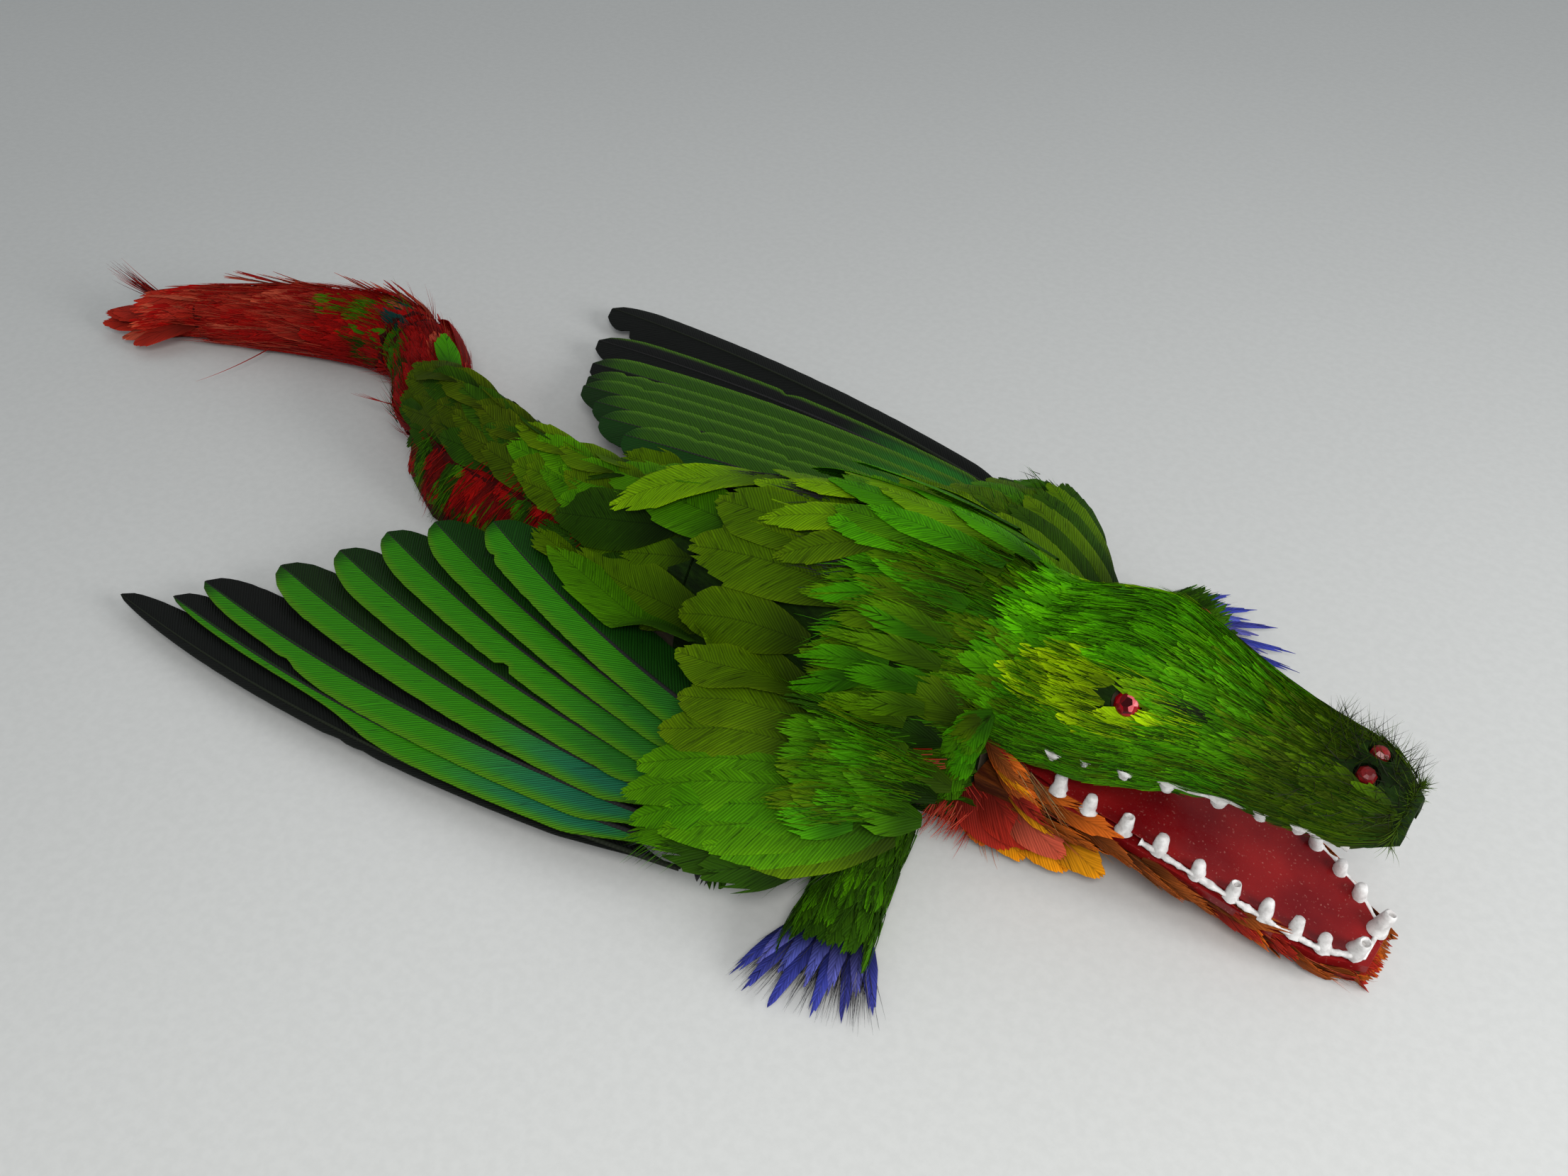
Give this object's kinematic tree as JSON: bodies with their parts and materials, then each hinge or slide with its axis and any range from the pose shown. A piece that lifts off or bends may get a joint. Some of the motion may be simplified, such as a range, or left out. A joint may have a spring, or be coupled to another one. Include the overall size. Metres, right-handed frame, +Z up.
{
  "type": "feather alebrije figure",
  "caption": "Crocodile-headed winged dragon figure lying on its belly, covered in green feathers, with an open red mouth and a curled red tail.",
  "frame": {"origin": "bottom centre of the whole figure's bounding box, on the table", "axes": "+X from the tail towards the snout, +Y to the figure's left, +Z up from the table"},
  "size_m": [0.2568, 0.1148, 0.0374],
  "materials": {
    "green_feathers": "soft satin, barred by fine barbs",
    "dark_feathers": "satin, black with a dark green sheen",
    "scarlet_feathers": "soft, hair-like ends",
    "orange_feathers": "soft, hair-like ends",
    "yellow_green_feathers": "soft, matte",
    "blue_feathers": "stiff pointed feathers, matte",
    "moulded_core": "rough, hidden under the plumage",
    "dried_skin": "matte, hidden under the coverts",
    "steel_wire": "plain drawn wire",
    "red_paint": "thick glossy lacquer with dust in it",
    "white_paint": "thick white paint over cut quills",
    "red_glass": "faceted, foil-backed"
  },
  "bodies": {
    "root": {"belly_feathers": "yellow_green_feathers", "body_core": "moulded_core", "crown_feathers": "green_feathers", "head_core": "moulded_core", "hind_back_feathers": "green_feathers", "jaw_board": "moulded_core", "jaw_underside_feathers": "orange_feathers", "left_cheek_feathers": "yellow_green_feathers", "left_eye_gem": "red_glass", "left_flank_feathers": "scarlet_feathers", "left_flight_feather_1": "dark_feathers", "left_flight_feather_2": "dark_feathers", "left_flight_feather_3": "green_feathers", "left_flight_feather_4": "green_feathers", "left_flight_feather_5": "green_feathers", "left_flight_feather_6": "green_feathers", "left_flight_feather_7": "green_feathers", "left_flight_feather_8": "green_feathers", "left_greater_coverts": "green_feathers", "left_leg_feathers": "green_feathers", "left_leg_peg": "moulded_core", "left_lesser_coverts": "green_feathers", "left_nostril_gem": "red_glass", "left_scapular_feathers": "green_feathers", "left_toe_feathers": "blue_feathers", "left_wing_arm": "dried_skin", "lower_teeth": "white_paint", "mantle_feathers": "green_feathers", "mouth_floor_lining": "red_paint", "neck_ruff_feathers": "green_feathers", "palate_lining": "red_paint", "right_cheek_feathers": "yellow_green_feathers", "right_eye_gem": "red_glass", "right_flank_feathers": "scarlet_feathers", "right_flight_feather_1": "dark_feathers", "right_flight_feather_2": "dark_feathers", "right_flight_feather_3": "green_feathers", "right_flight_feather_4": "green_feathers", "right_flight_feather_5": "green_feathers", "right_flight_feather_6": "green_feathers", "right_flight_feather_7": "green_feathers", "right_flight_feather_8": "green_feathers", "right_greater_coverts": "green_feathers", "right_leg_feathers": "green_feathers", "right_leg_peg": "moulded_core", "right_lesser_coverts": "green_feathers", "right_nostril_gem": "red_glass", "right_scapular_feathers": "green_feathers", "right_toe_feathers": "blue_feathers", "right_wing_arm": "dried_skin", "rump_feathers": "green_feathers", "snout_feathers": "green_feathers", "tail_barred_feathers": "scarlet_feathers", "tail_core": "moulded_core", "tail_red_feathers": "scarlet_feathers", "tail_tip_feathers": "scarlet_feathers", "tail_wire": "steel_wire", "throat_feathers": "orange_feathers", "upper_teeth": "white_paint"}
  },
  "joints": []
}
